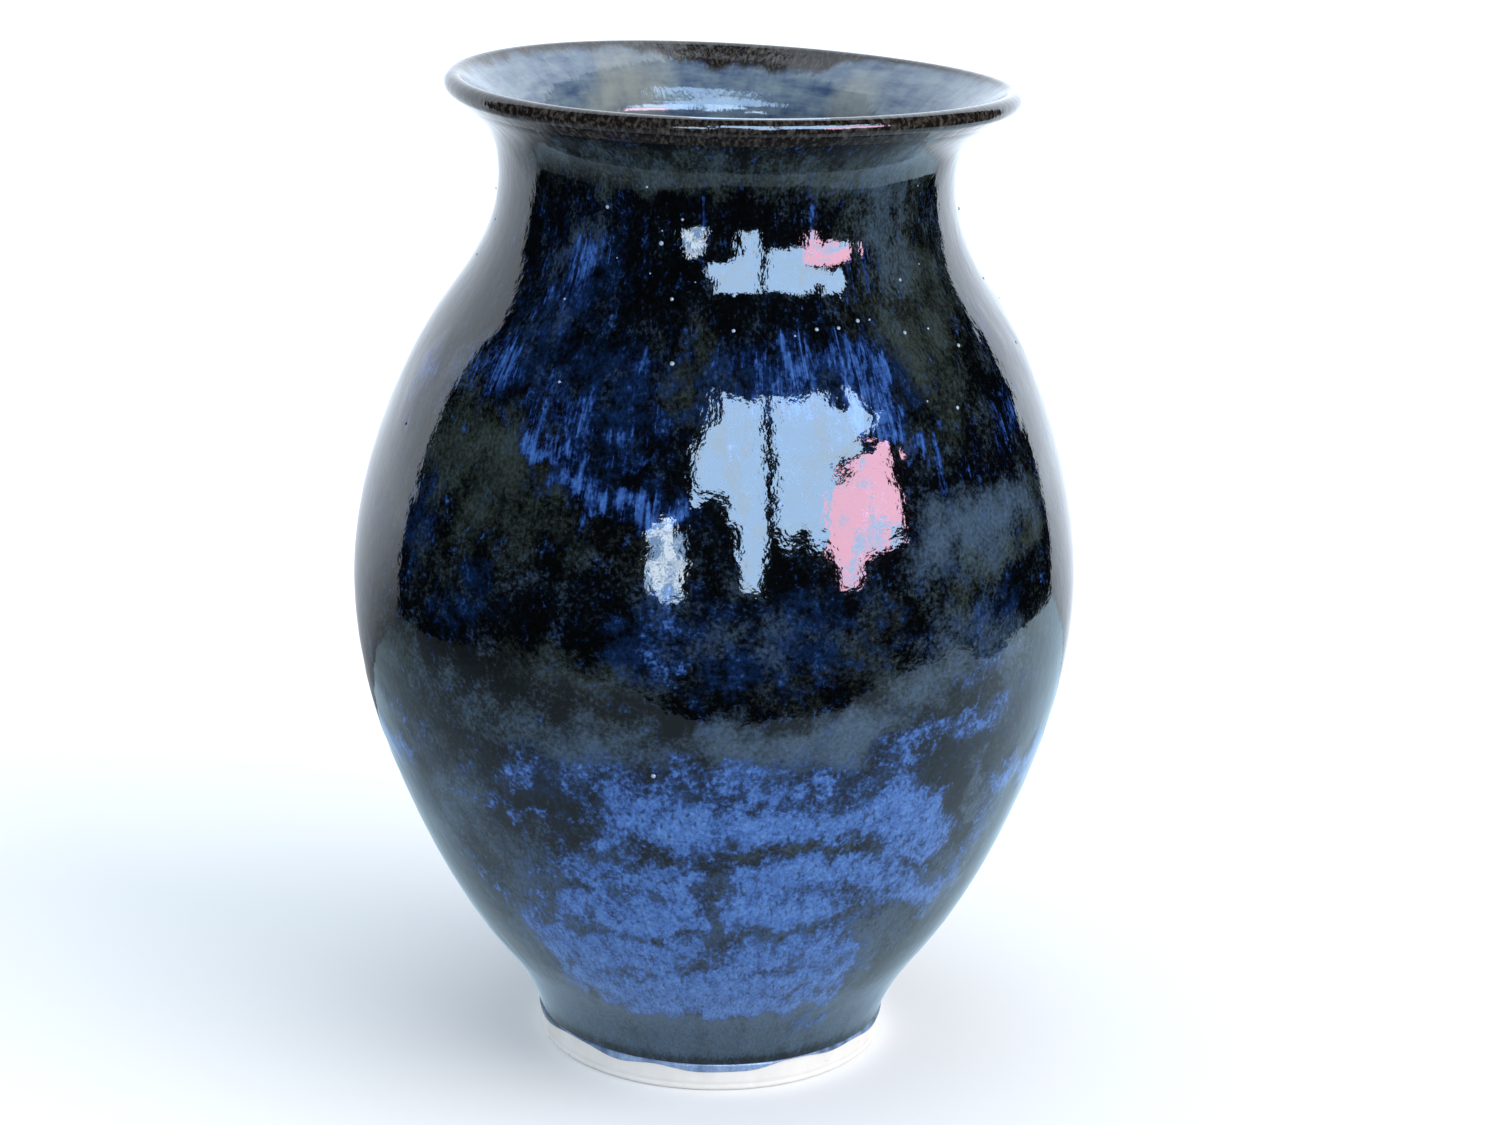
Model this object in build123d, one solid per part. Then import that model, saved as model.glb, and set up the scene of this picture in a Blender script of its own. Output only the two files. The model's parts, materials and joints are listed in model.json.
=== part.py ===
"""Wheel-thrown stoneware vase: one fired clay pot and the coats of glaze that are fused to it.

Frame: origin at the centre of the foot ring's resting face, +Z up the throwing axis. Sizes are in millimetres.
Every piece is round about the throwing axis, so each is a closed outline of radius and height, turned about Z.
"""

from build123d import *

import math
import os

# Outside of the finished pot, from the glaze line above the foot to the neck: radius and height of each station.
GLAZE_LINE_RADIUS, GLAZE_LINE_HEIGHT = 46.0, 7.5
WAIST_RADIUS, WAIST_HEIGHT = 47.4, 12.0
LOW_WALL_RADIUS, LOW_WALL_HEIGHT = 60.6, 32.5
FLANK_RADIUS, FLANK_HEIGHT = 79.2, 67.0
BELLY_RADIUS, BELLY_HEIGHT = 92.7, 126.0
SHOULDER_RADIUS, SHOULDER_HEIGHT = 82.6, 174.0
SLOPE_RADIUS, SLOPE_HEIGHT = 72.7, 194.0
COLLAR_RADIUS, COLLAR_HEIGHT = 60.6, 213.5
NECK_RADIUS, NECK_HEIGHT = 57.5, 228.0
FLARE_RADIUS, FLARE_HEIGHT = 59.0, 237.0
FLANGE_RADIUS, FLANGE_HEIGHT = 64.2, 243.2
WALL_START_LEAN = 0.2  # outward run for each unit of rise, just above the foot

# Lip: the wall ends in a round edge about this centre, and meets it at this slope.
LIP_RADIUS, LIP_HEIGHT = 69.0, 250.0
LIP_THICKNESS = 5.0
LIP_SLOPE_DEG = 38.0

# Coats and wall.
GLAZE = 0.8  # full depth of glaze over the clay
POUR = 0.4  # share of that depth which is the second, blue glaze
WALL_AT_FOOT = 6.0  # clay alone
WALL_THINNING = 0.6  # below 1, most of the thinning is in the lower wall
WALL_AT_LIP = LIP_THICKNESS - 2 * GLAZE

# Foot, turned from the same clay, and the floor inside.
FOOT_RADIUS = 45.3
FOOT_BEVEL = 1.2
RING_WIDTH = 7.5
RECESS = 3.5
WALL_LOW_END = 38.0  # outside height down to which the inside follows the outside
HEEL_RADIUS, HEEL_HEIGHT = 43.0, 21.0  # inside corner over the foot
FLOOR_RADIUS, FLOOR_HEIGHT = 24.0, 10.5

# The clay is stored in four lengths, cut level at these heights, so that each is a simple ring.
BELLY_START, SHOULDER_START, NECK_START = 42.0, 135.0, 206.0

# Where each coat begins and ends.
RIM_COAT_START = 245.8  # height outside at which the rim coat takes over
RIM_COAT_INSIDE = 0.055  # share of the inside wall's length that the rim coat covers
ROLL_DROP, ROLL_BULGE = 1.7, 0.45  # bead of glaze under the glaze line
BELLY_POUR = (13.5, 98.0)  # heights
SHOULDER_POUR = (146.0, 221.0)

STEPS = 34  # points along a curve that runs beside another
BISECTIONS = 40


def at(radius, height):
    """A point of an outline, in the plane that is turned about Z."""
    return Vector(radius, 0, height)


def beside(direction):
    """The direction to the right of a curve: out of the pot for one that climbs the outside."""
    return Vector(direction.Z, 0, -direction.X)


def smooth(points, start_direction, end_direction):
    """An even curve through points, leaving and arriving in the directions given."""
    return Spline(points, tangents=(start_direction, end_direction), tangent_scalars=(1, 1))


def shifted(curve, distance):
    """A curve beside another one, to its right by distance."""
    shares = [step / STEPS for step in range(STEPS + 1)]
    points = [curve.position_at(s) + beside(curve.tangent_at(s)) * distance for s in shares]
    return smooth(points, curve.tangent_at(0), curve.tangent_at(1))


def share_at_height(curve, height):
    """How far along a steadily rising or falling curve a height is reached, as a share of its length."""
    rises = curve.position_at(0).Z < curve.position_at(1).Z
    low, high = 0.0, 1.0
    for _ in range(BISECTIONS):
        middle = (low + high) / 2
        if (curve.position_at(middle).Z < height) == rises:
            low = middle
        else:
            high = middle
    return low


def turned(*edges):
    """The solid that a closed outline sweeps about the throwing axis."""
    return revolve(Face(Wire(list(edges))), Axis.Z, 360)


def coat(under, over, start, end):
    """The solid between two curves that run side by side, from one share of their length to another."""
    first = Line(under.position_at(start), over.position_at(start))
    last = Line(under.position_at(end), over.position_at(end))
    return turned(under.trim(start, end), last, over.trim(start, end), first)


LIP_CENTRE = at(LIP_RADIUS, LIP_HEIGHT)
LIP_DIRECTION = at(math.cos(math.radians(LIP_SLOPE_DEG)), math.sin(math.radians(LIP_SLOPE_DEG)))


def lip_point(side, inset):
    """Where the wall meets the lip's round edge, outside (+1) or inside (-1), this deep under the glaze."""
    return LIP_CENTRE + beside(LIP_DIRECTION) * (side * (LIP_THICKNESS / 2 - inset))


def lip_edge(inset):
    """The lip's round edge, this deep under the glaze."""
    tip = LIP_CENTRE + LIP_DIRECTION * (LIP_THICKNESS / 2 - inset)
    return ThreePointArc(lip_point(1, inset), tip, lip_point(-1, inset))


def outside_curve():
    """The finished outside, rising from the glaze line to the lip."""
    stations = [
        at(GLAZE_LINE_RADIUS, GLAZE_LINE_HEIGHT),
        at(WAIST_RADIUS, WAIST_HEIGHT),
        at(LOW_WALL_RADIUS, LOW_WALL_HEIGHT),
        at(FLANK_RADIUS, FLANK_HEIGHT),
        at(BELLY_RADIUS, BELLY_HEIGHT),
        at(SHOULDER_RADIUS, SHOULDER_HEIGHT),
        at(SLOPE_RADIUS, SLOPE_HEIGHT),
        at(COLLAR_RADIUS, COLLAR_HEIGHT),
        at(NECK_RADIUS, NECK_HEIGHT),
        at(FLARE_RADIUS, FLARE_HEIGHT),
        at(FLANGE_RADIUS, FLANGE_HEIGHT),
        lip_point(1, 0),
    ]
    return smooth(stations, at(WALL_START_LEAN, 1), LIP_DIRECTION)


def inside_curve(clay_outside):
    """The clay's inside wall, falling from the lip to the heel."""
    low_end = share_at_height(clay_outside, WALL_LOW_END)
    points = []
    for step in range(STEPS + 1):
        share = 1 + (low_end - 1) * step / STEPS
        wall = WALL_AT_FOOT + (WALL_AT_LIP - WALL_AT_FOOT) * share**WALL_THINNING
        points.append(clay_outside.position_at(share) - beside(clay_outside.tangent_at(share)) * wall)
    return smooth(points, -LIP_DIRECTION, -clay_outside.tangent_at(low_end))


def heel_curve(wall):
    """The clay's inside corner over the foot, from the wall's low end to the flat floor."""
    points = [wall.position_at(1), at(HEEL_RADIUS, HEEL_HEIGHT), at(FLOOR_RADIUS, FLOOR_HEIGHT)]
    return smooth(points, wall.tangent_at(1), at(-1, 0))


# Surfaces, from the outside of the pot to its inside.
POT_OUTSIDE = outside_curve()
BASE_OUTSIDE = shifted(POT_OUTSIDE, -POUR)
CLAY_OUTSIDE = shifted(POT_OUTSIDE, -GLAZE)
CLAY_INSIDE = inside_curve(CLAY_OUTSIDE)
CLAY_HEEL = heel_curve(CLAY_INSIDE)
POT_INSIDE = shifted(CLAY_INSIDE, GLAZE)
POT_HEEL = shifted(CLAY_HEEL, GLAZE)
POT_FLOOR_HEIGHT = FLOOR_HEIGHT + GLAZE
RIM_START = share_at_height(POT_OUTSIDE, RIM_COAT_START)
FOOT_TOP = CLAY_OUTSIDE.position_at(0)
FOOT_EDGE = at(FOOT_RADIUS, FOOT_BEVEL)


def level_cut(height):
    """Across the clay wall from outside to inside, with how far along each surface it is."""
    outer = share_at_height(CLAY_OUTSIDE, height)
    inner = share_at_height(CLAY_INSIDE, height)
    return outer, inner, Line(CLAY_OUTSIDE.position_at(outer), CLAY_INSIDE.position_at(inner))


def foot():
    """The turned foot ring, the floor and the start of the wall."""
    outer, inner, cut = level_cut(BELLY_START)
    ring_inner = FOOT_RADIUS - RING_WIDTH
    bevel_middle = FOOT_BEVEL * (1 - math.sqrt(0.5))
    return turned(
        CLAY_OUTSIDE.trim(0, outer),
        cut,
        CLAY_INSIDE.trim(inner, 1),
        CLAY_HEEL,
        Line(at(FLOOR_RADIUS, FLOOR_HEIGHT), at(0, FLOOR_HEIGHT)),
        Line(at(0, FLOOR_HEIGHT), at(0, RECESS)),
        Line(at(0, RECESS), at(ring_inner - RECESS, RECESS)),
        Line(at(ring_inner - RECESS, RECESS), at(ring_inner, FOOT_BEVEL)),
        Line(at(ring_inner, FOOT_BEVEL), at(ring_inner + FOOT_BEVEL, 0)),
        Line(at(ring_inner + FOOT_BEVEL, 0), at(FOOT_RADIUS - FOOT_BEVEL, 0)),
        ThreePointArc(at(FOOT_RADIUS - FOOT_BEVEL, 0), at(FOOT_RADIUS - bevel_middle, bevel_middle), FOOT_EDGE),
        Line(FOOT_EDGE, FOOT_TOP),
    )


def wall_length(start, end):
    """The clay wall between two heights."""
    low_outer, low_inner, low_cut = level_cut(start)
    high_outer, high_inner, high_cut = level_cut(end)
    return turned(
        CLAY_OUTSIDE.trim(low_outer, high_outer), high_cut, CLAY_INSIDE.trim(high_inner, low_inner), low_cut
    )


def neck_and_lip():
    """The clay wall from the collar up, with its flare and round lip."""
    outer, inner, cut = level_cut(NECK_START)
    return turned(CLAY_OUTSIDE.trim(outer, 1), lip_edge(GLAZE), CLAY_INSIDE.trim(0, inner), cut)


def base_glaze():
    """The dark first glaze over the outside."""
    return coat(CLAY_OUTSIDE, BASE_OUTSIDE, 0, RIM_START)


def pour(heights):
    """A band of the blue second glaze over the dark one."""
    start, end = (share_at_height(POT_OUTSIDE, height) for height in heights)
    return coat(BASE_OUTSIDE, POT_OUTSIDE, start, end)


def glaze_roll():
    """The bead in which the outside glaze stopped, on the bare clay under the glaze line."""
    rise = (FOOT_TOP - FOOT_EDGE).normalized()
    bottom = FOOT_TOP - rise * ROLL_DROP
    top = BASE_OUTSIDE.position_at(0)
    belly = (bottom + top) / 2 + beside(rise) * ROLL_BULGE
    return turned(Line(FOOT_TOP, top), ThreePointArc(top, belly, bottom), Line(bottom, FOOT_TOP))


def rim_glaze():
    """The coat over the lip, from under its outside to a little way down the inside."""
    inside_end = Line(POT_INSIDE.position_at(RIM_COAT_INSIDE), CLAY_INSIDE.position_at(RIM_COAT_INSIDE))
    return turned(
        POT_OUTSIDE.trim(RIM_START, 1),
        lip_edge(0),
        POT_INSIDE.trim(0, RIM_COAT_INSIDE),
        inside_end,
        CLAY_INSIDE.trim(0, RIM_COAT_INSIDE),
        lip_edge(GLAZE),
        CLAY_OUTSIDE.trim(RIM_START, 1),
        Line(CLAY_OUTSIDE.position_at(RIM_START), POT_OUTSIDE.position_at(RIM_START)),
    )


def liner_glaze():
    """The pale glaze inside, from under the rim coat to the middle of the floor."""
    top = RIM_COAT_INSIDE
    return turned(
        CLAY_INSIDE.trim(top, 1),
        CLAY_HEEL,
        Line(at(FLOOR_RADIUS, FLOOR_HEIGHT), at(0, FLOOR_HEIGHT)),
        Line(at(0, FLOOR_HEIGHT), at(0, POT_FLOOR_HEIGHT)),
        Line(at(0, POT_FLOOR_HEIGHT), at(FLOOR_RADIUS, POT_FLOOR_HEIGHT)),
        POT_HEEL,
        POT_INSIDE.trim(top, 1),
        Line(POT_INSIDE.position_at(top), CLAY_INSIDE.position_at(top)),
    )


NODES = {
    "foot": foot(),
    "belly": wall_length(BELLY_START, SHOULDER_START),
    "shoulder": wall_length(SHOULDER_START, NECK_START),
    "neck_and_lip": neck_and_lip(),
    "base_glaze": base_glaze(),
    "belly_pour": pour(BELLY_POUR),
    "shoulder_pour": pour(SHOULDER_POUR),
    "glaze_roll": glaze_roll(),
    "rim_glaze": rim_glaze(),
    "liner_glaze": liner_glaze(),
}

os.makedirs("parts", exist_ok=True)
for name, solid in NODES.items():
    export_step(solid, f"parts/{name}.step")
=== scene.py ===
import json
import math

import bmesh
import bpy
import numpy as np
from mathutils import Matrix, Vector

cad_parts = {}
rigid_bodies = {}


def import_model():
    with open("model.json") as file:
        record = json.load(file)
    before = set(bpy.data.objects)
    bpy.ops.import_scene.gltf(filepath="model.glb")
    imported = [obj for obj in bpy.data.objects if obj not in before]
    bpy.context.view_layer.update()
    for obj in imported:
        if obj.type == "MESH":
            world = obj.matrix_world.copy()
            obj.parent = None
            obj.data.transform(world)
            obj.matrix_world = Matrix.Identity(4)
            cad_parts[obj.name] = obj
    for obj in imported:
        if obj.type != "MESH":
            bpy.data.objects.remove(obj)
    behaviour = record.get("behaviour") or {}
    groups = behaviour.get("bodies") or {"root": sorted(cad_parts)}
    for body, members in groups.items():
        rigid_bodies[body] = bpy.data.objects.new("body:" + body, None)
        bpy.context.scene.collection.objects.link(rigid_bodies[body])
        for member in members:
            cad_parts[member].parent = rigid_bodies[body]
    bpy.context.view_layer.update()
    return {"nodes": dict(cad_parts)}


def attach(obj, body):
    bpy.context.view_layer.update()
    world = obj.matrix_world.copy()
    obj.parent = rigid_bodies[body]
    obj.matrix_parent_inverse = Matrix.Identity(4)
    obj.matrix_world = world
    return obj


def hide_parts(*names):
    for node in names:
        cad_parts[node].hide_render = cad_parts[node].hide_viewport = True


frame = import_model()
mm = 0.001
hair = 1e-6
scene = bpy.context.scene

# small helpers


def hexColour(text, strength=1.0):
    # sRGB hex to the linear numbers that the shaders work in
    shares = [int(text[i:i + 2], 16) / 255 for i in (1, 3, 5)]
    linear = [s / 12.92 if s <= 0.04045 else ((s + 0.055) / 1.055) ** 2.4 for s in shares]
    return tuple(strength * value for value in linear) + (1.0,)


def addNode(tree, kind, inputs=None, **settings):
    # a node with its settings, its input values and the sockets or nodes linked into it
    node = tree.nodes.new(kind)
    for name, value in settings.items():
        setattr(node, name, value)
    for socket, value in (inputs or {}).items():
        if isinstance(value, bpy.types.Node):
            value = next(output for output in value.outputs if output.enabled)
        if isinstance(value, bpy.types.NodeSocket):
            tree.links.new(value, node.inputs[socket])
        else:
            node.inputs[socket].default_value = value
    return node
def smoothStep(low, high, value):
    share = np.clip((value - low) / (high - low), 0, 1)
    return share * share * (3 - 2 * share)


def ripples(points, wavelength, seed, waves=28):
    # smooth random field of about -1 to 1 whose bumps are a wavelength apart
    dice = np.random.default_rng(seed)
    total = np.zeros(len(points))
    for _ in range(waves):
        direction = dice.normal(size=points.shape[1])
        direction *= 2 * math.pi * dice.uniform(0.6, 1.5) / wavelength / np.linalg.norm(direction)
        total += np.cos(points @ direction + dice.uniform(0, 2 * math.pi))
    return total / math.sqrt(waves)


# profiles of the turned parts


def seamLine(nodeName):
    # A turned solid's seam lies on the plane y = 0, x > 0, and its edges end to end are the profile
    mesh = frame["nodes"][nodeName].data
    nextTo = {}
    for edge in mesh.edges:
        ends = [mesh.vertices[i].co for i in edge.vertices]
        if all(abs(p.y) < hair and p.x > hair for p in ends):
            a, b = [(round(p.x, 6), round(p.z, 6)) for p in ends]
            if a != b:
                nextTo.setdefault(a, set()).add(b)
                nextTo.setdefault(b, set()).add(a)
    tips = [p for p in nextTo if len(nextTo[p]) == 1]
    start = max(tips, key=lambda p: p[1]) if tips else min(nextTo, key=lambda p: p[1])
    line, last = [start], None
    while True:
        ways = [p for p in nextTo[line[-1]] if p != last and p not in line[1:]]
        if last is None and not tips:
            ways = [max(ways)]
        if not ways or ways[0] == start:
            break
        last = line[-1]
        line.append(ways[0])
    return np.array(line)


def evenLine(points, step):
    # a natural cubic spline through the points, sampled at even steps along it
    points = np.asarray(points, float)
    along = np.concatenate([[0], np.cumsum(np.linalg.norm(np.diff(points, axis=0), axis=1))])
    gap = np.diff(along)
    count = len(points)
    grid = np.eye(count)
    right = np.zeros_like(points)
    for i in range(1, count - 1):
        grid[i, i - 1:i + 2] = gap[i - 1], 2 * (gap[i - 1] + gap[i]), gap[i]
        right[i] = 6 * ((points[i + 1] - points[i]) / gap[i] - (points[i] - points[i - 1]) / gap[i - 1])
    bend = np.linalg.solve(grid, right)
    places = np.linspace(0, along[-1], max(2, round(along[-1] / step) + 1))
    left = np.clip(np.searchsorted(along, places, side="right") - 1, 0, count - 2)
    h, t = gap[left][:, None], (places - along[left])[:, None]
    a, b = points[left], points[left + 1]
    m, n = bend[left], bend[left + 1]
    return a + (b - a) / h * t - h * t * (2 * m + n) / 6 + m * t * t / 2 + (n - m) * t ** 3 / (6 * h)


def openStraights(points, longest, beside):
    # puts two points into a long straight run that meets a tight curve, so the spline stays straight there
    line = [points[0]]
    length = np.linalg.norm(np.diff(points, axis=0), axis=1)
    for i, size in enumerate(length):
        around = [length[j] for j in (i - 1, i + 1) if 0 <= j < len(length)]
        if size > longest and min(around) < beside:
            line += [points[i] + (points[i + 1] - points[i]) * share for share in (0.15, 0.5, 0.85)]
        line.append(points[i + 1])
    return np.array(line)


baseLine = seamLine("base_glaze")
baseTop = int(np.argmax(baseLine[:, 1]))
outerLine, outerBack = baseLine[:baseTop], baseLine[baseTop:]
rimLine = seamLine("rim_glaze")
linerLine = seamLine("liner_glaze")
linerTop = int(np.argmax(linerLine[:, 1]))
footLine = seamLine("foot")[::-1]
rollLine = seamLine("glaze_roll")
# the rim coat's seam starts inside against the clay, and the visible side starts under the lip
lipStart = int(np.argmin([abs(p[0] - outerBack[0][0]) + abs(p[1] - outerBack[0][1]) for p in rimLine])) + 1
rimBack, rimFront = rimLine[:lipStart], rimLine[lipStart:]
glazeEdge = outerBack[-1]
footEnd = next(i for i, p in enumerate(footLine) if p[1] > glazeEdge[1] - 0.01 * mm)
footFront = footLine[:footEnd]
print("profiles read:", len(outerLine), len(rimFront), len(linerLine), len(footFront))

# the wheel: one Geometry Nodes tree turns an outline into a thrown wall

wheel = {
    "ringPitch": 7.6 * mm,      # one turn of the thrower's fingers
    "outsideRings": 0.014 * mm,  # sponged nearly smooth
    "insideRings": 0.32 * mm,   # left as thrown
    "ringsStart": (6 * mm, 30 * mm),     # the foot is trimmed, so the rings grow in above it
    "ringsEnd": (236 * mm, 245 * mm),    # and the lip is smoothed with a wet leather
    "handWobble": 0.10 * mm,    # slow unevenness of the wall
    "wobbleSize": 34 * mm,
    "steadyWithin": 40 * mm,    # rings and wobble shrink towards the axis
    "barrel": 90 * mm,          # radius that patterns round the pot are laid out on
    "axisSwing": 0.6 * mm,      # the wall leans a little one way at the neck and back at the belly
    "swingMiddle": 118 * mm,
    "swingSpan": 110 * mm,
    "rimHeight": 250 * mm,
    "rimReach": 45 * mm,        # how far below the rim its tilt is felt
    "lipReach": 14 * mm,        # and its shift
    "rimShift": 1.2 * mm,
    "rimTilt": 0.98 * mm,
    "rimSaddle": 0.6 * mm,
    "sharpFrom": 42,            # degrees
}
wheelSizes = ("Ring Pitch", "Hand Wobble", "Wobble Size", "Steady Within", "Barrel", "Axis Swing",
              "Swing Middle", "Swing Span", "Rim Height", "Rim Reach", "Lip Reach", "Rim Shift", "Rim Tilt",
              "Rim Saddle")


def wheelTree():
    tree = bpy.data.node_groups.new("potteryWheel", "GeometryNodeTree")
    tree.interface.new_socket("Geometry", in_out="OUTPUT", socket_type="NodeSocketGeometry")
    inputs = {"Outline": "Geometry", "Steps Around": "Int", **dict.fromkeys(wheelSizes, "Float"),
              "Finish": "Material"}
    for name, kind in inputs.items():
        tree.interface.new_socket(name, in_out="INPUT", socket_type="NodeSocket" + kind)
    given = addNode(tree, "NodeGroupInput").outputs
    count = addNode(tree, "GeometryNodeAttributeDomainSize", {0: given["Outline"]}).outputs["Point Count"]
    columns = addNode(tree, "ShaderNodeMath", {0: given["Steps Around"], 1: 1}, operation="ADD")
    wall = addNode(tree, "GeometryNodeMeshGrid",
                   {"Size X": 1.0, "Size Y": 1.0, "Vertices X": columns, "Vertices Y": count})
    # each row of the flat grid takes one point of the outline
    place = addNode(tree, "GeometryNodeInputPosition")
    flat = addNode(tree, "ShaderNodeSeparateXYZ", {0: place}).outputs
    lastRow = addNode(tree, "ShaderNodeMath", {0: count, 1: 1}, operation="SUBTRACT")
    upward = addNode(tree, "ShaderNodeMath", {0: flat["Y"], 1: 0.5}, operation="ADD")
    level = addNode(tree, "ShaderNodeMath", {0: upward, 1: lastRow}, operation="MULTIPLY")
    row = addNode(tree, "ShaderNodeMath", {0: level}, operation="ROUND")
    profile = addNode(tree, "GeometryNodeSampleIndex",
                      {"Geometry": given["Outline"], "Value": place, "Index": row}, data_type="FLOAT_VECTOR")
    spot = addNode(tree, "ShaderNodeSeparateXYZ", {0: profile}).outputs
    carried = {}
    for name in ("ringHeight", "showing", "along"):
        mark = addNode(tree, "GeometryNodeInputNamedAttribute", {"Name": name}, data_type="FLOAT")
        carried[name] = addNode(tree, "GeometryNodeSampleIndex",
                                {"Geometry": given["Outline"], "Value": mark, "Index": row},
                                data_type="FLOAT")
    angle = addNode(tree, "ShaderNodeMath", {0: flat["X"], 1: 2 * math.pi}, operation="MULTIPLY")
    side = addNode(tree, "ShaderNodeMath", {0: angle}, operation="SINE")
    front = addNode(tree, "ShaderNodeMath", {0: angle}, operation="COSINE")
    back = addNode(tree, "ShaderNodeMath", {0: front, 1: -1.0}, operation="MULTIPLY")
    # throwing rings climb as one long spiral and fade in and out around the pot
    climb = addNode(tree, "ShaderNodeMath", {0: spot["Z"], 1: 2 * math.pi}, operation="MULTIPLY")
    climb = addNode(tree, "ShaderNodeMath", {0: climb, 1: given["Ring Pitch"]}, operation="DIVIDE")
    climb = addNode(tree, "ShaderNodeMath", {0: climb, 1: angle}, operation="ADD")
    rings = addNode(tree, "ShaderNodeMath", {0: climb}, operation="SINE")
    rings = addNode(tree, "ShaderNodeMath", {0: rings, 1: carried["ringHeight"]}, operation="MULTIPLY")
    barrelHeight = addNode(tree, "ShaderNodeMath", {0: spot["Z"], 1: given["Barrel"]}, operation="DIVIDE")
    barrel = addNode(tree, "ShaderNodeCombineXYZ", {"X": side, "Y": back, "Z": barrelHeight})
    fade = addNode(tree, "ShaderNodeTexNoise", {"Vector": barrel, "Scale": 1.6, "Detail": 1.0})
    fade = addNode(tree, "ShaderNodeMath", {0: fade, 1: 2.0}, operation="MULTIPLY")
    rings = addNode(tree, "ShaderNodeMath", {0: rings, 1: fade}, operation="MULTIPLY")
    # the slow unevenness of a wall raised by hand
    wrap = addNode(tree, "ShaderNodeVectorMath", {0: barrel, "Scale": given["Barrel"]}, operation="SCALE")
    coarseness = addNode(tree, "ShaderNodeMath", {0: 1.0, 1: given["Wobble Size"]}, operation="DIVIDE")
    slow = addNode(tree, "ShaderNodeTexNoise", {"Vector": wrap, "Scale": coarseness, "Detail": 1.0})
    slow = addNode(tree, "ShaderNodeMath", {0: slow, 1: 0.5}, operation="SUBTRACT")
    fullWobble = addNode(tree, "ShaderNodeMath", {0: given["Hand Wobble"], 1: 4.0}, operation="MULTIPLY")
    uneven = addNode(tree, "ShaderNodeMath", {0: slow, 1: fullWobble, 2: rings}, operation="MULTIPLY_ADD")
    outFromAxis = addNode(tree, "ShaderNodeMath", {0: spot["X"], 1: given["Steady Within"]},
                          operation="DIVIDE")
    outFromAxis = addNode(tree, "ShaderNodeMath", {0: outFromAxis, 1: 1.0}, operation="MINIMUM")
    radius = addNode(tree, "ShaderNodeMath", {0: uneven, 1: outFromAxis, 2: spot["X"]},
                     operation="MULTIPLY_ADD")
    # the axis leans, and the rim sits off centre, tilted and slightly saddle-shaped
    lean = addNode(tree, "ShaderNodeMath", {0: spot["Z"], 1: given["Swing Middle"]}, operation="SUBTRACT")
    lean = addNode(tree, "ShaderNodeMath", {0: lean, 1: given["Swing Span"]}, operation="DIVIDE")
    lean = addNode(tree, "ShaderNodeMath", {0: lean, 1: math.pi}, operation="MULTIPLY")
    lean = addNode(tree, "ShaderNodeMath", {0: lean}, operation="COSINE")
    lean = addNode(tree, "ShaderNodeMath", {0: lean, 1: given["Axis Swing"]}, operation="MULTIPLY")
    near = {}
    for reach in ("Rim Reach", "Lip Reach"):
        start = addNode(tree, "ShaderNodeMath", {0: given["Rim Height"], 1: given[reach]},
                        operation="SUBTRACT")
        near[reach] = addNode(tree, "ShaderNodeMapRange", {"Value": spot["Z"], "From Min": start,
                                                           "From Max": given["Rim Height"]},
                              interpolation_type="SMOOTHSTEP")
    shift = addNode(tree, "ShaderNodeMath", {0: near["Lip Reach"], 1: given["Rim Shift"]},
                    operation="MULTIPLY")
    shift = addNode(tree, "ShaderNodeMath", {0: shift, 1: lean}, operation="SUBTRACT")
    saddle = addNode(tree, "ShaderNodeMath", {0: side, 1: back}, operation="MULTIPLY")
    saddle = addNode(tree, "ShaderNodeMath", {0: saddle, 1: 2.0}, operation="MULTIPLY")
    saddle = addNode(tree, "ShaderNodeMath", {0: saddle, 1: given["Rim Saddle"]}, operation="MULTIPLY")
    drop = addNode(tree, "ShaderNodeMath", {0: side, 1: given["Rim Tilt"], 2: saddle},
                   operation="MULTIPLY_ADD")
    drop = addNode(tree, "ShaderNodeMath", {0: drop, 1: near["Rim Reach"]}, operation="MULTIPLY")
    finishedX = addNode(tree, "ShaderNodeMath", {0: radius, 1: side, 2: shift}, operation="MULTIPLY_ADD")
    finishedY = addNode(tree, "ShaderNodeMath", {0: radius, 1: back}, operation="MULTIPLY")
    finishedZ = addNode(tree, "ShaderNodeMath", {0: spot["Z"], 1: drop}, operation="SUBTRACT")
    finished = addNode(tree, "ShaderNodeCombineXYZ", {"X": finishedX, "Y": finishedY, "Z": finishedZ})
    for name in ("showing", "along"):
        wall = addNode(tree, "GeometryNodeStoreNamedAttribute",
                       {"Geometry": wall, "Name": name, "Value": carried[name]}, data_type="FLOAT")
    wall = addNode(tree, "GeometryNodeSetPosition", {"Geometry": wall, "Position": finished})
    wall = addNode(tree, "GeometryNodeMergeByDistance", {"Geometry": wall, "Distance": 0.002 * mm})
    wall = addNode(tree, "GeometryNodeSetShadeSmooth", {"Geometry": wall})
    wall = addNode(tree, "GeometryNodeRealizeInstances", {"Geometry": wall})
    wall = addNode(tree, "GeometryNodeSetMaterial", {"Geometry": wall, "Material": given["Finish"]})
    addNode(tree, "NodeGroupOutput", {0: wall})
    return tree


potteryWheel = wheelTree()


def evaluated(holder, tree, values, name):
    # runs a tree on the holder and keeps its result as a plain object at the origin
    modifier = holder.modifiers.new("tree", "NODES")
    modifier.node_group = tree
    for item in tree.interface.items_tree:
        if item.in_out == "INPUT" and item.name in values:
            modifier[item.identifier] = values[item.name]
    shown = holder.evaluated_get(bpy.context.evaluated_depsgraph_get())
    mesh = bpy.data.meshes.new_from_object(shown)
    mesh.name = name
    holder.modifiers.remove(modifier)
    bpy.data.objects.remove(holder)
    piece = bpy.data.objects.new(name, mesh)
    scene.collection.objects.link(piece)
    return piece


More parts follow.
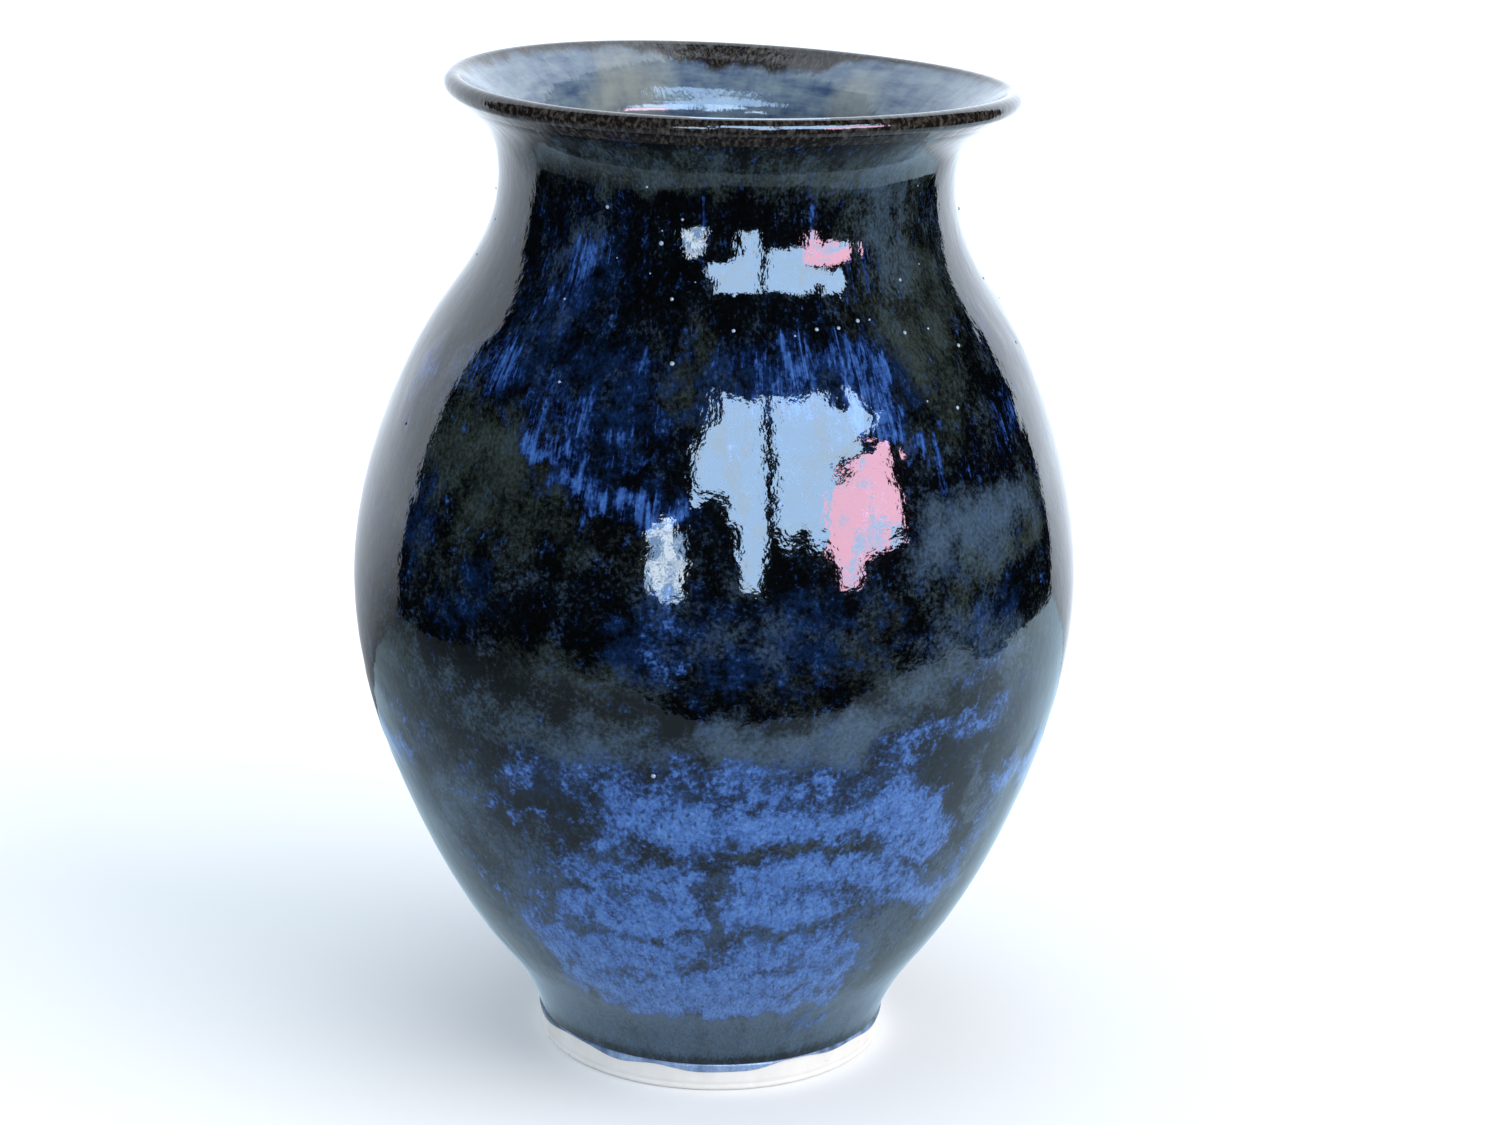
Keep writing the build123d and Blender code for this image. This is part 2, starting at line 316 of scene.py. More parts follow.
def turned(name, runs, stepsAround, material):
    # runs are (points, inside or outside rings, visible) in order round the closed outline
    points, ringHeight, showing, along = [], [], [], []
    for line, rings, visible in runs:
        height = np.array([p[1] for p in line])
        fadeOut = 1 - smoothStep(*wheel["ringsEnd"], height)
        fadeIn = smoothStep(*wheel["ringsStart"], height) if rings == wheel["outsideRings"] else 1.0
        points += [(p[0], 0.0, p[1]) for p in line]
        ringHeight += list(rings * fadeOut * fadeIn)
        showing += [float(visible)] * len(line)
        along += list(np.linspace(0, 1, len(line)))
    closed = points[0][0] > hair or points[-1][0] > hair
    if closed:
        for values in (points, ringHeight, showing, along):
            values.append(values[0])
    outline = bpy.data.meshes.new(name + "Outline")
    outline.from_pydata(points, [(i, i + 1) for i in range(len(points) - 1)], [])
    for mark, values in (("ringHeight", ringHeight), ("showing", showing), ("along", along)):
        outline.attributes.new(mark, "FLOAT", "POINT").data.foreach_set("value", values)
    holder = bpy.data.objects.new(name + "Outline", outline)
    scene.collection.objects.link(holder)
    # a size's key is its input's name in camelCase
    values = {size: wheel[size[0].lower() + size[1:].replace(" ", "")] for size in wheelSizes}
    values.update({"Steps Around": stepsAround, "Finish": material})
    piece = evaluated(holder, potteryWheel, values, name)
    work = bmesh.new()
    work.from_mesh(piece.data)
    bmesh.ops.recalc_face_normals(work, faces=work.faces)
    work.to_mesh(piece.data)
    work.free()
    piece.data.set_sharp_from_angle(angle=math.radians(wheel["sharpFrom"]))
    return piece


def marks(piece, name):
    values = np.zeros(len(piece.data.vertices), np.float32)
    piece.data.attributes[name].data.foreach_get("value", values)
    return values.astype(float)


def places(piece):
    values = np.zeros(len(piece.data.vertices) * 3, np.float32)
    piece.data.vertices.foreach_get("co", values)
    return values.reshape(-1, 3).astype(float)


def outward(piece):
    values = np.zeros(len(piece.data.vertices) * 3, np.float32)
    piece.data.vertex_normals.foreach_get("vector", values)
    return values.reshape(-1, 3).astype(float)


def rolled(piece, barrel):
    # where each vertex is, in mm: its spot, turn from the front, radius and place on a barrel of even radius
    spots = places(piece) / mm
    turn = np.degrees(np.arctan2(spots[:, 0], -spots[:, 1]))
    radius = np.hypot(spots[:, 0], spots[:, 1]) + hair
    wrap = np.stack([spots[:, 0] / radius * barrel, spots[:, 1] / radius * barrel, spots[:, 2]], 1)
    return spots, turn, radius, wrap


def reshape(piece, points):
    piece.data.vertices.foreach_set("co", points.astype(np.float32).ravel())
    piece.data.update()


def keep(piece, name, values):
    field = piece.data.attributes.get(name) or piece.data.attributes.new(name, "FLOAT", "POINT")
    field.data.foreach_set("value", np.asarray(values, np.float32))


# glazing: strokes of poured and brushed glaze, as (turn in degrees from the front, height in mm)


def brushed(where, strokes, softness=0.45):
    # soft union of strokes: each is (strength, half width in mm, turn, height, turn, height, ...)
    turn, height, radius = where
    bare = np.ones(len(turn))
    for stroke in strokes:
        strength, width, spots = stroke[0], stroke[1], stroke[2:]
        nearest = np.full(len(turn), 1e9)
        for i in range(0, len(spots) - 2, 2):
            across = np.radians((turn - spots[i] + 180) % 360 - 180) * radius
            up = height - spots[i + 1]
            runAcross = np.radians(spots[i + 2] - spots[i]) * radius
            runUp = spots[i + 3] - spots[i + 1]
            share = np.clip((across * runAcross + up * runUp) / (runAcross ** 2 + runUp ** 2 + 1e-9), 0, 1)
            nearest = np.minimum(nearest, np.hypot(across - share * runAcross, up - share * runUp))
        bare *= 1 - strength * (1 - smoothStep(width * (1 - softness), width * (1 + softness), nearest))
    return 1 - bare


pour = {
    "thickness": 0.42 * mm,     # how far the second pour stands on the first coat
    "drift": 1.8,               # mm that the stroke edges wander
    # the waves that they wander in: (size in mm, seed), a long and a short one across and up
    "driftAcross": ((14, 11), (5, 12)),
    "driftUp": ((13, 13), (5, 14)),
    "softness": {"runs": 0.75, "clouds": 0.8, "channels": 0.6, "olive": 0.9, "ash": 0.8, "cobalt": 0.95},
    "dust": 0.045,              # thin blue left all over the shoulder by the second pour
    "backSeed": 5,
    "backStretch": 1.25,        # strokes at the back are wider by this, and moved by up to
    "backNudge": 6,             # these degrees
    "backRaise": 3,             # and these mm
    "sideStrokes": 16, "sideSpread": 34, "sideWidths": (2.5, 6),
    # on the sides: lowest, highest, half length in degrees, half rise in mm, greatest strength
    "sides": {"clouds": (32, 92, 9, 3, 0.9), "runs": (172, 216, 1.5, 6, 0.65), "olive": (100, 225, 8, 8, 0.6),
              "ash": (36, 200, 9, 5, 0.5), "cobalt": (60, 215, 9, 6, 0.6)},
    # blue that ran down the shoulder in drips
    "runs": [
        (0.75, 3.6, -31.5, 214, -31.5, 221), (0.6, 3.0, -38, 206, -35.5, 218), (0.6, 1.4, -40, 206, -46, 190),
        (0.55, 6.0, -56, 182, -50, 193), (0.7, 4.0, -44, 187, -41, 194), (0.55, 4.0, -36, 177, -34, 189),
        (0.55, 3.6, -32, 176, -30, 188), (0.5, 3.0, -28, 177, -27, 187), (0.8, 2.4, -34, 175, -24, 174),
        (0.8, 3.4, -24, 181, -23, 187), (0.6, 2.0, -22, 179, -17, 179), (0.5, 2.0, -16, 177, -15, 194),
        (0.5, 2.0, -12, 178, -11, 192), (0.7, 1.0, -30, 173.5, -10, 174.5), (0.45, 2.2, 21, 224, 21, 235),
        (0.45, 2.2, 25, 222, 26, 233), (0.5, 3.0, 30, 210, 32, 217), (0.45, 3.0, 36, 209, 36, 217),
        (0.45, 2.6, 2, 186, 2, 198), (0.5, 2.0, 6, 185, 6, 199), (0.8, 3.0, 9, 186, 9, 197),
        (0.85, 3.0, 13, 186, 13, 196), (0.7, 2.5, 17, 185, 17, 199), (0.5, 2.0, 21, 185, 21, 198),
        (0.8, 3.0, 24, 181, 24, 199), (0.8, 3.0, 28, 181, 28, 198), (0.75, 2.6, 31.5, 180, 31, 197),
        (0.7, 3.0, 34, 174, 38, 176), (0.4, 4.0, 36, 166, 46, 170), (0.6, 6.0, 56, 176, 64, 182),
        (0.5, 3.0, 61, 200, 65, 201), (0.5, 2.2, -36, 200, -32, 212), (0.35, 5.0, -4, 222, -2, 236),
        (0.4, 3.0, -52, 160, -50, 150), (0.3, 3.0, -8, 128, -7, 145), (0.35, 2.4, 9, 132, 10, 146),
        (0.9, 3.2, -28, 168.5, -18, 166.5, -6, 163), (0.25, 5, -50, 140, -40, 134),
        (0.6, 2.6, -24, 164, -10, 161),
    ],
    # thick blue that stayed in speckled clouds round the lower belly
    "clouds": [
        (0.68, 6.0, -16, 82, -6, 90), (0.64, 5.0, -14, 92, -2, 84), (0.75, 5.0, -2, 88, 8, 87),
        (0.85, 4.6, 8, 87, 28, 88), (0.85, 5.5, 32, 91, 36, 78), (0.8, 5.0, 38, 88, 42, 74),
        (0.8, 4.0, 22, 76, 34, 68, 46, 58), (0.6, 6.0, -24, 62, -8, 62), (0.58, 5.0, -22, 72, -6, 72),
        (0.75, 4.5, -16, 55, -5, 57), (0.8, 5.0, 6, 73, 20, 75), (0.85, 5.0, 5, 63, 20, 62),
        (0.6, 5.0, -38, 50, -30, 40), (0.54, 5.5, -30, 46, -8, 46), (0.58, 5.0, -34, 35, -8, 33),
        (0.7, 4.4, 8, 47, 26, 46), (0.85, 5.0, 6, 38, 28, 38), (0.8, 4.2, 4, 29, 30, 30),
        (0.5, 2.0, 26, 20, 34, 20), (0.7, 5, -8, 38, 6, 36), (0.6, 4, -24, 29, 4, 28),
        (0.4, 3.0, -6, 50, 4, 48), (0.45, 6.0, 52, 64, 56, 84), (0.5, 3.6, 31, 107, 49, 109),
        (0.4, 3.0, 41, 121, 47, 122), (0.45, 3.6, 2, 102, 7, 103), (0.45, 2.6, 8, 98, 17, 98),
        (0.45, 3.0, -34, 93, -33, 97), (0.45, 3.0, -30, 97, -29, 101), (0.55, 1.0, -49, 84, -38, 87, -27, 84),
        (0.35, 3.0, -66, 103, -52, 97), (0.4, 4.0, 44, 46, 52, 60), (0.35, 3.5, -50, 66, -44, 56),
        (0.42, 16, -24, 62, 24, 58), (0.4, 12, -26, 40, 24, 42), (0.38, 8, -20, 98, 30, 98),
        (0.35, 4, -8, 128, -7, 142),
    ],
    # runs of clear dark glaze that opened channels between the clouds
    "channels": [
        (0.95, 1.6, 1.8, 56, 1.8, 77), (0.7, 1.5, -6, 54, 12, 55, 28, 57, 40, 52, 52, 44),
        (0.5, 1.4, 6, 81, 24, 80), (0.7, 4.0, 34, 52, 44, 44), (0.75, 2.0, 46, 96, 48, 82, 46, 70),
        (0.5, 1.4, -30, 66, -12, 66), (0.6, 1.2, -30, 51, -10, 52), (0.4, 1.2, -34, 41, -12, 39.5),
        (0.4, 1.4, 10, 42, 28, 42), (0.4, 1.4, 12, 33.5, 32, 33.5), (0.5, 1.6, -20, 77, -6, 78),
        (0.6, 3.0, -3, 44, 2, 52),
    ],
    # olive where the blue is thin over the dark coat; the last stroke, a band round the neck at 238 mm, is a
    # painted reflection of the floor
    "olive": [
        (0.75, 13.0, -50, 172, -36, 168), (0.35, 10.0, -50, 112, -16, 114), (0.8, 3.5, 40, 147, 60, 150),
        (0.6, 7.0, -6, 188, -4, 198), (0.7, 11.0, 38, 204, 40, 234), (0.65, 12.0, 42, 186, 50, 208),
        (0.5, 8.0, 20, 134, 36, 138), (0.7, 2.6, 5, 81, 22, 81.5), (0.5, 7.0, 40, 142, 60, 160),
        (0.4, 5.0, -30, 128, 30, 122), (0.4, 7.0, -60, 118, -54, 124), (0.45, 9, 50, 112, 60, 130),
        # painted reflection: the neck band at the end of this row
        (0.35, 10, -46, 148, -30, 158), (0.3, 7, -22, 158, -8, 152), (0.8, 5, -52, 238, 0, 238, 52, 238),
    ],
    # blue-grey where the pours ended thin: round the belly and, as a plain band, above the foot; the band
    # round the neck at 239 mm is a painted reflection of the floor
    "ash": [
        (0.75, 6.5, 3, 109, 22, 109), (0.6, 6.5, 22, 112, 36, 119), (0.4, 6.0, -24, 107, 2, 108),
        (0.7, 7.0, 38, 158, 56, 159), (0.4, 7.0, 32, 152, 48, 148), (0.45, 24, -26, 58, 28, 52),
        (0.35, 12, -44, 40, -10, 30), (0.4, 10, 24, 38, 40, 50), (0.7, 3, 46, 98, 49, 82),
        (0.6, 7.0, 50, 60, 58, 84), (0.5, 9, 34, 132, 50, 126), (0.4, 7, -56, 184, -50, 192),
        (0.5, 7, -56, 70, -44, 90), (0.3, 6, -38, 200, -33, 222), (0.45, 7, 40, 212, 41, 236),
        # painted reflection: the neck band at the start of this row
        (0.28, 5, -54, 239, 0, 239, 54, 239), (0.2, 7, 36, 222, 43, 236), (0.25, 10, -4, 140, 14, 138),
        (0.4, 9, -50, 113, -18, 107), (0.35, 12, -48, 88, -34, 52),
    ],
    # deep cobalt showing through the dark coat
    "cobalt": [
        (0.6, 6.0, -54, 148, -53, 159), (0.5, 7.0, -42, 135, -38, 142), (0.55, 6.0, -12, 128, -7, 140),
        (0.35, 10.0, 2, 130, 18, 136), (0.5, 3.4, 9, 133, 10, 144), (0.55, 7.0, 40, 130, 48, 137),
        (0.5, 5.0, -28, 168, -18, 166, -5, 163), (0.25, 9.0, -30, 182, -20, 184),
        (0.35, 8.0, 6, 190, 30, 190), (0.4, 8.0, 36, 152, 58, 158), (0.6, 8.0, -22, 100, 30, 99),
        (0.5, 20, -26, 62, 26, 60), (0.4, 14, -38, 196, -34, 216), (0.45, 12, -20, 186, 30, 190),
        (0.25, 12, -10, 134, 30, 134), (0.45, 8.0, 44, 104, 56, 112), (0.35, 8, -40, 92, -26, 94),
        (0.35, 6, -44, 190, -34, 210),
    ],
}


def glazeMaps(piece):
    spots, turn, radius, wrap = rolled(piece, wheel["barrel"] / mm)
    across, up = [sum(size * pour["drift"] * ripples(wrap, *wave) for size, wave in zip((1, 0.5), pour[name]))
                  for name in ("driftAcross", "driftUp")]
    front = (turn + np.degrees(across / radius), spots[:, 2] + up, radius)
    # the back carries the same pours seen from behind, turned and moved a little
    dice = np.random.default_rng(pour["backSeed"])
    nudges, raises, spread = pour["backNudge"], pour["backRaise"], pour["sideSpread"]
    bands = {}
    for name in ("runs", "clouds", "channels", "olive", "ash", "cobalt"):
        rear = []
        for stroke in pour[name]:
            nudge, raised = dice.uniform(-nudges, nudges), dice.uniform(-raises, raises)
            moved = list(stroke)
            moved[2::2] = [180 - pour["backStretch"] * spot + nudge for spot in stroke[2::2]]
            moved[3::2] = [spot + raised for spot in stroke[3::2]]
            rear.append(moved)
        # and the same kinds of stroke carry on round both sides
        low, high, reach, slope, strongest = pour["sides"].get(name, (0, 0, 0, 0, 0))
        for i in range(pour["sideStrokes"] if strongest else 0):
            middle = (90, 270)[i % 2] + dice.uniform(-spread, spread)
            level = dice.uniform(low, high)
            run, rise = dice.uniform(0.3, 1) * reach, dice.uniform(-1, 1) * slope
            rear.append([dice.uniform(0.4, 1) * strongest, dice.uniform(*pour["sideWidths"]),
                         middle - run, level - rise, middle + run, level + rise])
        bands[name] = brushed(front, pour[name] + rear, pour["softness"][name])
    return spots, wrap, bands


# materials


def wrapCoordinates(tree, stretch):
    # Object coordinates rolled onto a barrel of even radius, so that a pattern keeps its size round the pot
    at = addNode(tree, "ShaderNodeTexCoord").outputs["Object"]
    spot = addNode(tree, "ShaderNodeSeparateXYZ", {0: at}).outputs
    level = addNode(tree, "ShaderNodeCombineXYZ", {"X": spot["X"], "Y": spot["Y"]})
    unit = addNode(tree, "ShaderNodeVectorMath", {0: level}, operation="NORMALIZE")
    barrel = addNode(tree, "ShaderNodeVectorMath", {0: unit, "Scale": wheel["barrel"]},
                     operation="SCALE")
    rise = addNode(tree, "ShaderNodeCombineXYZ", {"Z": spot["Z"]})
    whole = addNode(tree, "ShaderNodeVectorMath", {0: barrel, 1: rise}, operation="ADD")
    return addNode(tree, "ShaderNodeVectorMath", {0: whole, 1: (1, 1, stretch)},
                   operation="MULTIPLY")


def glazeMaterial(name):
    material = bpy.data.materials.new(name)
    material.use_nodes = True
    tree = material.node_tree
    tree.nodes.clear()
    return material, tree


glazeLook = {
    "roughness": 0.045,
    "ior": 1.5,
    "peelSize": 1.0 * mm,       # orange peel left by the glaze as it froze
    "peelDepth": 0.02 * mm,
    "rippleSize": 3.6 * mm,     # and the softer ripples under it
    "rippleDepth": 0.05 * mm,
}


def orangePeel(tree, coordinates, strength=1.0):
    peel = addNode(tree, "ShaderNodeTexNoise",
                   {"Vector": coordinates, "Scale": 1 / glazeLook["peelSize"], "Detail": 1.5})
    ripple = addNode(tree, "ShaderNodeTexNoise",
                     {"Vector": coordinates, "Scale": 1 / glazeLook["rippleSize"], "Detail": 1.0})
    swell = addNode(tree, "ShaderNodeBump",
                    {"Height": ripple, "Distance": glazeLook["rippleDepth"] * strength})
    return addNode(tree, "ShaderNodeBump",
                   {"Height": peel, "Distance": glazeLook["peelDepth"] * strength,
                    "Normal": swell})


def stonewareGlaze():
    # Reduction-fired stoneware glaze, poured twice: a black-green base under rutile blue.
    # It is glass on the clay, so it is near mirror smooth, with the colour lying under the surface.
    colours = {
        "black": "#030405", "blueBlack": "#090f17", "olive": "#2b3330", "ash": "#394a5c",
        "cobalt": "#0d2142", "halo": "#223a60", "ranDeep": "#0c2150", "ranBlue": "#3b61a2",
        "cloudDeep": "#172f5c", "cloudBlue": "#345693", "cloudPale": "#4b70aa",
    }
    colours = {name: hexColour(text) for name, text in colours.items()}
    material, tree = glazeMaterial("stonewareGlaze")
    still = wrapCoordinates(tree, 1.0)
    running = wrapCoordinates(tree, 0.16)
    field = {n: addNode(tree, "ShaderNodeAttribute", attribute_name=n).outputs["Fac"]
             for n in ("runs", "clouds", "olive", "cobalt", "ash")}

    def grain(coordinates, size, detail=3.0, roughness=0.6, low=0.3, high=0.7, warp=0.0):
        # noise of a real size in mm, stretched to the full range
        noise = addNode(tree, "ShaderNodeTexNoise", {"Vector": coordinates, "Scale": 1 / (size * mm),
                                                     "Detail": detail, "Roughness": roughness,
                                                     "Distortion": warp})
        return addNode(tree, "ShaderNodeMapRange", {"Value": noise, "From Min": low, "From Max": high})

    def broken(mask, grainy, amount, low, high):
        # a mask whose edge is moved by the grain and then sharpened
        centred = addNode(tree, "ShaderNodeMath", {0: grainy, 1: 0.5}, operation="SUBTRACT")
        rough = addNode(tree, "ShaderNodeMath", {0: centred, 1: amount, 2: mask}, operation="MULTIPLY_ADD")
        return addNode(tree, "ShaderNodeMapRange", {"Value": rough, "From Min": low, "From Max": high},
                       interpolation_type="SMOOTHSTEP")

    drips = grain(running, 1.9, 4.0, 0.65, warp=0.9)
    mottle = grain(still, 4.2, 6.0, 0.7)
    specks = grain(still, 1.1, 3.0, 0.7)
    haze = grain(still, 10.0, 5.0, 0.62)
    # coarse grain with a share of fine in it
    hazy, mottled, smoky, cloudy = [
        addNode(tree, "ShaderNodeMix", {"Factor": share, "A": coarse, "B": specks})
        for coarse, share in ((haze, 0.45), (mottle, 0.5), (mottle, 0.2), (mottle, 0.4))]
    runny = addNode(tree, "ShaderNodeMix", {"Factor": 0.45, "A": drips, "B": mottled})
    ranColour = addNode(tree, "ShaderNodeMix",
                        {"Factor": broken(field["runs"], runny, 1.9, 0.6, 1.4), "A": colours["ranDeep"],
                         "B": colours["ranBlue"]}, data_type="RGBA")
    # pinprick gaps in the clouds, where the dark coat shows through
    gaps = grain(wrapCoordinates(tree, 0.6), 1.5, 1.5, 0.5, 0.6, 0.7)
    closed = addNode(tree, "ShaderNodeMapRange", {"Value": gaps, "To Min": 1.0, "To Max": 0.2})
    cloud = broken(field["clouds"], cloudy, 1.5, 0.2, 0.7)
    cloud = addNode(tree, "ShaderNodeMath", {0: cloud, 1: closed}, operation="MULTIPLY")
    fullCloud = addNode(tree, "ShaderNodeMath", {0: field["clouds"], 1: 0.75}, operation="MULTIPLY")
    cloudColour = colours["cloudDeep"]
    for colour, mask in (("cloudBlue", broken(field["clouds"], cloudy, 1.3, 0.2, 0.85)),
                         ("cloudPale", broken(fullCloud, cloudy, 1.5, 0.4, 1.15))):
        cloudColour = addNode(tree, "ShaderNodeMix", {"Factor": mask, "A": cloudColour, "B": colours[colour]},
                              data_type="RGBA")
    # a thin blue-grey halo where the clouds end
    halo = addNode(tree, "ShaderNodeMath", {0: broken(field["clouds"], hazy, 0.9, 0.05, 0.85), 1: 0.6},
                   operation="MULTIPLY")
    # the coats from the clay up, each with the mask that lays it on
    coloured = colours["black"]
    for colour, mask in (
        (colours["blueBlack"], broken(haze, specks, 1.0, 0.3, 1.2)),
        (colours["olive"], broken(field["olive"], hazy, 1.5, 0.1, 1.2)),
        (colours["cobalt"], broken(field["cobalt"], smoky, 1.2, 0.1, 1.1)),
        (colours["ash"], broken(field["ash"], hazy, 1.0, 0.1, 1.0)),
        (colours["halo"], halo),
        (ranColour, broken(field["runs"], runny, 1.7, 0.45, 0.95)),
        (cloudColour, cloud),
    ):
        coloured = addNode(tree, "ShaderNodeMix", {"Factor": mask, "A": coloured, "B": colour},
                           data_type="RGBA")
    # crystals and tiny bubbles under the surface lighten and darken it all at pinhead scale
    shade = addNode(tree, "ShaderNodeMapRange", {"Value": grain(still, 0.9, 2.0, 0.6), "To Min": 0.7,
                                                 "To Max": 1.3}, clamp=False)
    coloured = addNode(tree, "ShaderNodeMix", {"Factor": 1.0, "A": coloured, "B": shade}, data_type="RGBA",
                       blend_type="MULTIPLY")
    shader = addNode(tree, "ShaderNodeBsdfPrincipled",
                     {"Base Color": coloured, "Roughness": glazeLook["roughness"], "IOR": glazeLook["ior"],
                      "Normal": orangePeel(tree, still)})
    addNode(tree, "ShaderNodeOutputMaterial", {0: shader})
    return material


def rimGlazeMaterial():
    # The same glaze run thin over the lip, where iron in the clay breaks it brown;
    # inside it turns to the milky liner, with dark runs hanging under the lip.
    colours = {"brown": "#14100e", "edge": "#55514d", "milk": "#71838f", "cream": "#8d9188",
               "shade": "#37496a"}
    colours = {name: hexColour(text) for name, text in colours.items()}
    material, tree = glazeMaterial("rimGlaze")
    still = wrapCoordinates(tree, 1.0)
    brown, cream, lip = [addNode(tree, "ShaderNodeAttribute", attribute_name=name).outputs["Fac"]
                         for name in ("brown", "cream", "lip")]
    mottle = addNode(tree, "ShaderNodeTexNoise",
                     {"Vector": still, "Scale": 1 / (6 * mm), "Detail": 5.0, "Roughness": 0.62})
    fine = addNode(tree, "ShaderNodeTexNoise", {"Vector": still, "Scale": 1 / (1.2 * mm), "Detail": 3.0})
    # the liner was swirled in, so its tones lie in level bands
    swirl = addNode(tree, "ShaderNodeTexNoise", {"Vector": wrapCoordinates(tree, 7.0), "Scale": 1 / (16 * mm),
                                                 "Detail": 4.0, "Roughness": 0.6})
    tone = addNode(tree, "ShaderNodeMath", {0: mottle, 1: 0.9}, operation="MULTIPLY")
    tone = addNode(tree, "ShaderNodeMath", {0: swirl, 1: 1.5, 2: tone}, operation="MULTIPLY_ADD")
    tone = addNode(tree, "ShaderNodeMapRange", {"Value": tone, "From Min": 0.85, "From Max": 1.5})
    creamy = addNode(tree, "ShaderNodeMath", {0: mottle, 1: 0.3}, operation="ADD")
    creamy = addNode(tree, "ShaderNodeMath", {0: cream, 1: creamy}, operation="MULTIPLY")
    iron = addNode(tree, "ShaderNodeMapRange",
                   {"Value": fine, "From Min": 0.45, "From Max": 0.75, "To Max": 0.75})
    dark = addNode(tree, "ShaderNodeMix", {"Factor": iron, "A": colours["brown"], "B": colours["edge"]},
                   data_type="RGBA")
    # the brown ends in a ragged edge, but covers the lip whole
    ragged = addNode(tree, "ShaderNodeMath", {0: fine, 1: mottle}, operation="ADD")
    ragged = addNode(tree, "ShaderNodeMath", {0: ragged, 1: 1.0}, operation="SUBTRACT")
    ragged = addNode(tree, "ShaderNodeMath", {0: brown, 1: ragged}, operation="ADD")
    ragged = addNode(tree, "ShaderNodeMapRange", {"Value": ragged, "From Min": 0.15, "From Max": 0.85},
                     interpolation_type="SMOOTHSTEP")
    browned = addNode(tree, "ShaderNodeMath", {0: ragged, 1: lip}, operation="MAXIMUM")
    coloured = colours["shade"]
    for colour, mask in ((colours["milk"], tone), (colours["cream"], creamy), (dark, browned)):
        coloured = addNode(tree, "ShaderNodeMix", {"Factor": mask, "A": coloured, "B": colour},
                           data_type="RGBA")
    shader = addNode(tree, "ShaderNodeBsdfPrincipled",
                     {"Base Color": coloured, "Roughness": 0.1, "IOR": glazeLook["ior"],
                      "Normal": orangePeel(tree, still, 1.5)})
    addNode(tree, "ShaderNodeOutputMaterial", {0: shader})
    return material


def bareClayMaterial():
    # Off-white stoneware body, trimmed on the wheel and fired bare: matt, with a sandy grog and iron specks
    colours = {"clay": "#e4e2df", "shade": "#cfccc7", "iron": "#8a7460"}
    material, tree = glazeMaterial("bareStoneware")
    still = wrapCoordinates(tree, 1.0)
    level = wrapCoordinates(tree, 9.0)
    cloudy = addNode(tree, "ShaderNodeTexNoise",
                     {"Vector": still, "Scale": 1 / (9 * mm), "Detail": 5.0})
    combed = addNode(tree, "ShaderNodeTexNoise",
                     {"Vector": level, "Scale": 1 / (6 * mm), "Detail": 4.0})
    grog = addNode(tree, "ShaderNodeTexNoise",
                   {"Vector": still, "Scale": 1 / (0.55 * mm), "Detail": 2.0})
    dots = addNode(tree, "ShaderNodeTexVoronoi",
                   {"Vector": still, "Scale": 1 / (3.4 * mm)}).outputs["Distance"]
    iron = addNode(tree, "ShaderNodeMapRange", {"Value": dots, "From Min": 0.07, "From Max": 0.03})
    base = addNode(tree, "ShaderNodeMix", {"Factor": cloudy, "A": hexColour(colours["shade"]),
                                           "B": hexColour(colours["clay"])}, data_type="RGBA")
    base = addNode(tree, "ShaderNodeMix", {"Factor": iron, "A": base, "B": hexColour(colours["iron"])},
                   data_type="RGBA")
    rough = addNode(tree, "ShaderNodeMath", {0: grog, 1: combed}, operation="ADD")
    bump = addNode(tree, "ShaderNodeBump",
                   {"Height": rough, "Distance": 0.08 * mm, "Strength": 0.8})
    shader = addNode(tree, "ShaderNodeBsdfPrincipled",
                     {"Base Color": base, "Roughness": 0.82, "IOR": 1.5, "Normal": bump})
    addNode(tree, "ShaderNodeOutputMaterial", {0: shader})
    return material


def rollMaterial():
    # Glaze that ran to the foot and stopped as a thick glassy bead, paler where it pooled
    colours = {"pool": "#385c9c", "deep": "#2c3f52", "pale": "#a3b9cf"}
    material, tree = glazeMaterial("glazeBead")
    still = wrapCoordinates(tree, 1.0)
    pooled = addNode(tree, "ShaderNodeAttribute", attribute_name="pooled").outputs["Fac"]
    fine = addNode(tree, "ShaderNodeTexNoise",
                   {"Vector": still, "Scale": 1 / (1.5 * mm), "Detail": 3.0})
    milky = addNode(tree, "ShaderNodeMath", {0: fine, 1: pooled}, operation="MULTIPLY")
    base = addNode(tree, "ShaderNodeMix", {"Factor": pooled, "A": hexColour(colours["deep"]),
                                           "B": hexColour(colours["pool"])}, data_type="RGBA")
    base = addNode(tree, "ShaderNodeMix", {"Factor": milky, "A": base, "B": hexColour(colours["pale"])},
                   data_type="RGBA")
    shader = addNode(tree, "ShaderNodeBsdfPrincipled",
                     {"Base Color": base, "Roughness": 0.12, "IOR": glazeLook["ior"],
                      "Normal": orangePeel(tree, still, 1.0)})
    addNode(tree, "ShaderNodeOutputMaterial", {0: shader})
    return material


def blisterMaterial(name, dull, bright):
    # A skin of clear glaze over a bubble: milky and pale, partly a painted highlight, with a glossy point of
    # light; a burst one is painted near black, painted shade for its open hole
    material, tree = glazeMaterial(name)
    still = wrapCoordinates(tree, 1.0)
    fine = addNode(tree, "ShaderNodeTexNoise",
                   {"Vector": still, "Scale": 1 / (0.5 * mm), "Detail": 2.0})
    base = addNode(tree, "ShaderNodeMix", {"Factor": fine, "A": hexColour(dull), "B": hexColour(bright)},
                   data_type="RGBA")
    shader = addNode(tree, "ShaderNodeBsdfPrincipled",
                     {"Base Color": base, "Roughness": 0.12, "IOR": glazeLook["ior"]})
    addNode(tree, "ShaderNodeOutputMaterial", {0: shader})
    return material


